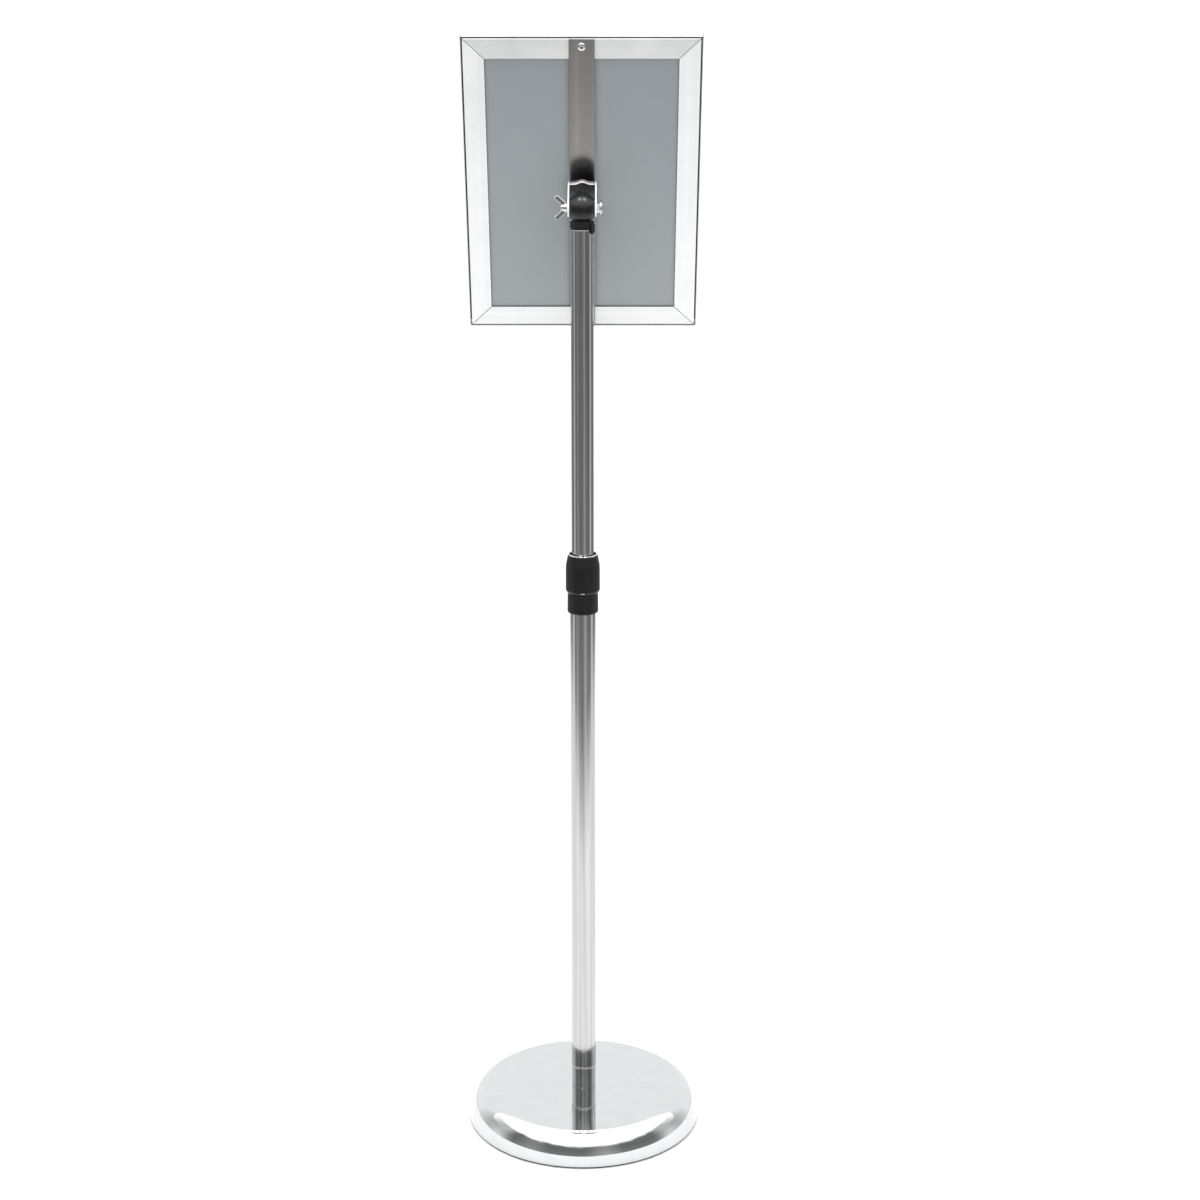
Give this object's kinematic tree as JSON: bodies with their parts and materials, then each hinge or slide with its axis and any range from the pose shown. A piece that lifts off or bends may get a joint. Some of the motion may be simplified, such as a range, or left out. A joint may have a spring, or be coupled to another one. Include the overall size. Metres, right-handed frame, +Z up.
{
  "type": "sign stand",
  "caption": "Floor sign stand: weighted round chrome base, telescopic pole with a twist lock, and a tilting portrait snap frame for a poster sheet.",
  "frame": {"origin": "the middle of the base's underside, on the floor", "axes": "+Z up along the pole; the sign faces -Y and leans back towards +Y; +X is to the viewer's right from the front"},
  "size_m": [0.256, 0.256, 1.1841],
  "materials": {
    "chrome": "bright mirror chrome plating",
    "polished_steel": "polished drawn tube with fine lengthwise lines",
    "brushed_steel": "satin, brushed lengthwise",
    "zinc": "bright zinc plating",
    "aluminium": "satin anodised, faint lengthwise extrusion lines",
    "cast_iron": "raw casting, dark primer",
    "black_plastic": "moulded, satin black",
    "grey_plastic": "matt grey sheet",
    "white_plastic": "natural nylon",
    "foam": "black foam rubber sheet",
    "paper": "plain blank sheet",
    "clear_plastic": "clear anti-glare sheet"
  },
  "bodies": {
    "base": {"base_cover": "chrome", "base_weight": "cast_iron", "base_pad": "foam", "base_washer": "zinc", "base_bolt": "zinc", "foot_collar": "polished_steel", "foot_plug": "zinc", "lower_tube": "polished_steel", "lock_body": "black_plastic"},
    "lock": {"lock_sleeve": "black_plastic", "lock_ring": "chrome", "lock_collet": "white_plastic"},
    "upper_pole": {"upper_tube": "polished_steel", "guide_bush": "white_plastic", "pole_cap": "black_plastic"},
    "head": {"knuckle": "black_plastic"},
    "sign": {"tilt_bracket": "zinc", "pivot_bolt": "zinc", "pivot_nut": "zinc", "bracket_rivet_left": "zinc", "bracket_rivet_right": "zinc", "back_strap": "brushed_steel", "strap_rivet_top": "zinc", "strap_rivet_bottom": "zinc", "rail_bottom": "aluminium", "rail_left": "aluminium", "rail_top": "aluminium", "rail_right": "aluminium", "back_panel": "grey_plastic", "poster": "paper", "clear_sheet": "clear_plastic", "snap_spring_bottom_a": "zinc", "snap_spring_bottom_b": "zinc", "snap_spring_left_a": "zinc", "snap_spring_left_b": "zinc", "snap_spring_top_a": "zinc", "snap_spring_top_b": "zinc", "snap_spring_right_a": "zinc", "snap_spring_right_b": "zinc", "corner_key_upper_left": "zinc", "corner_key_upper_right": "zinc", "corner_key_lower_left": "zinc", "corner_key_lower_right": "zinc"},
    "wing_nut": {"wing_nut": "zinc"},
    "snap_bottom": {"snap_bottom": "aluminium"},
    "snap_left": {"snap_left": "aluminium"},
    "snap_top": {"snap_top": "aluminium"},
    "snap_right": {"snap_right": "aluminium"}
  },
  "joints": [
    {"name": "lock_twist", "type": "hinge", "parent": "base", "child": "lock", "pos_m": [0, 0, 0.629], "axis": [0, 0, 1], "range_deg": [0, 90]},
    {"name": "pole_slide", "type": "slide", "parent": "base", "child": "upper_pole", "axis": [0, 0, 1], "range_m": [-0.325, 0.12]},
    {"name": "head_swivel", "type": "hinge", "parent": "upper_pole", "child": "head", "pos_m": [0, 0, 0.998], "axis": [0, 0, 1], "range_deg": [-180, 180]},
    {"name": "sign_tilt", "type": "hinge", "parent": "head", "child": "sign", "pos_m": [0, 0, 1.0116], "axis": [1, 0, 0], "range_deg": [-68.8, 21.2]},
    {"name": "wing_nut_turn", "type": "hinge", "parent": "sign", "child": "wing_nut", "pos_m": [0.0182, 0, 1.0116], "axis": [1, 0, 0], "continuous": true},
    {"name": "snap_bottom_open", "type": "hinge", "parent": "sign", "child": "snap_bottom", "pos_m": [0, -0.09602, 0.87632], "axis": [1, 0, 0], "range_deg": [0, 90]},
    {"name": "snap_left_open", "type": "hinge", "parent": "sign", "child": "snap_left", "pos_m": [-0.11955, -0.03706, 1.02833], "axis": [0, -0.3616, -0.9323], "range_deg": [0, 90]},
    {"name": "snap_top_open", "type": "hinge", "parent": "sign", "child": "snap_top", "pos_m": [0, 0.02191, 1.18035], "axis": [-1, 0, 0], "range_deg": [0, 90]},
    {"name": "snap_right_open", "type": "hinge", "parent": "sign", "child": "snap_right", "pos_m": [0.11955, -0.03706, 1.02833], "axis": [0, 0.3616, 0.9323], "range_deg": [0, 90]}
  ]
}
